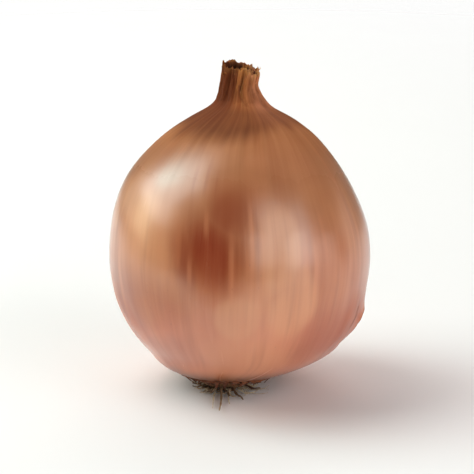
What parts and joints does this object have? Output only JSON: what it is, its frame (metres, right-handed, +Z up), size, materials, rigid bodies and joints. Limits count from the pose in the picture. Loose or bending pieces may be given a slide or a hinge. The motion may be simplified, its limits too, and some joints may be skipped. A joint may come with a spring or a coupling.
{
  "type": "boiling onion",
  "caption": "Small round dry bulb onion with glossy copper-brown papery skin, a short withered neck and a tuft of dried roots that it stands on.",
  "frame": {"origin": "the middle of the flat underside of the crushed root tuft that the onion stands on", "axes": "+Z up from the surface it stands on towards the neck; the bulb leans 10 degrees towards +Y and 1.5 degrees towards +X; the side seen first faces -Y"},
  "size_m": [0.0419, 0.0415, 0.0526],
  "materials": {
    "skin": "glossy dry papery onion skin, copper brown to salmon, with fine veins from neck to root and a matt brown neck",
    "roots": "matt dry fibrous roots, dark brown to straw"
  },
  "bodies": {
    "root": {"bulb": "skin", "root_tuft": "roots"}
  },
  "joints": []
}
